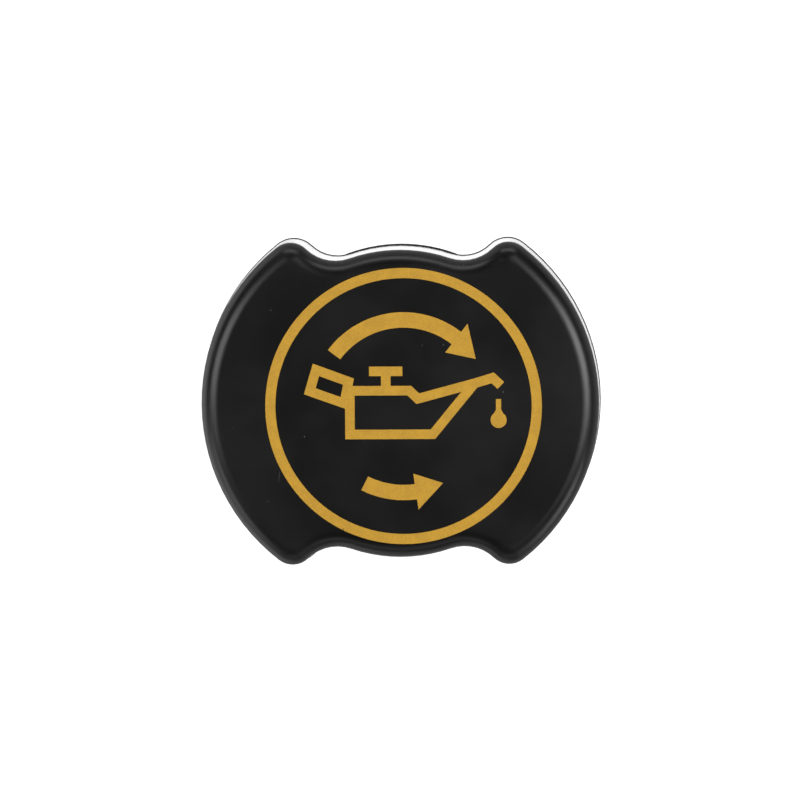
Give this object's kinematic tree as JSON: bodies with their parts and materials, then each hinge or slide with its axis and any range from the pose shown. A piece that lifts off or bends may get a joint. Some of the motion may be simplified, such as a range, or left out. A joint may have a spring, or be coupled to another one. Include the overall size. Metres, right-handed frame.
{
  "type": "oil filler cap",
  "caption": "Quarter-turn oil filler cap: winged grip cover with an oil-can symbol in a ring, hollow bayonet stem with lugs, pilot and flat rubber face seal.",
  "frame": {"origin": "middle of the stem's lower end, on the cap's axis", "axes": "+Z along the cap's axis up through the printed face, +X along the finger wings, +Y towards the top of the print"},
  "size_m": [0.066, 0.0538, 0.0336],
  "materials": {
    "cover_plastic": "satin-gloss black moulding with soft highlights along the rounded edge",
    "body_plastic": "glass-filled black moulding, finely grained",
    "seal_rubber": "dull black rubber",
    "gold_print": "matte gold hot-stamped film, slightly mottled"
  },
  "bodies": {
    "root": {"grip_cover": "cover_plastic", "bayonet_body": "body_plastic", "sealing_ring": "seal_rubber", "ring_print": "gold_print", "oil_can_print": "gold_print", "oil_drop_print": "gold_print", "close_arrow_print": "gold_print", "open_arrow_print": "gold_print"}
  },
  "joints": []
}
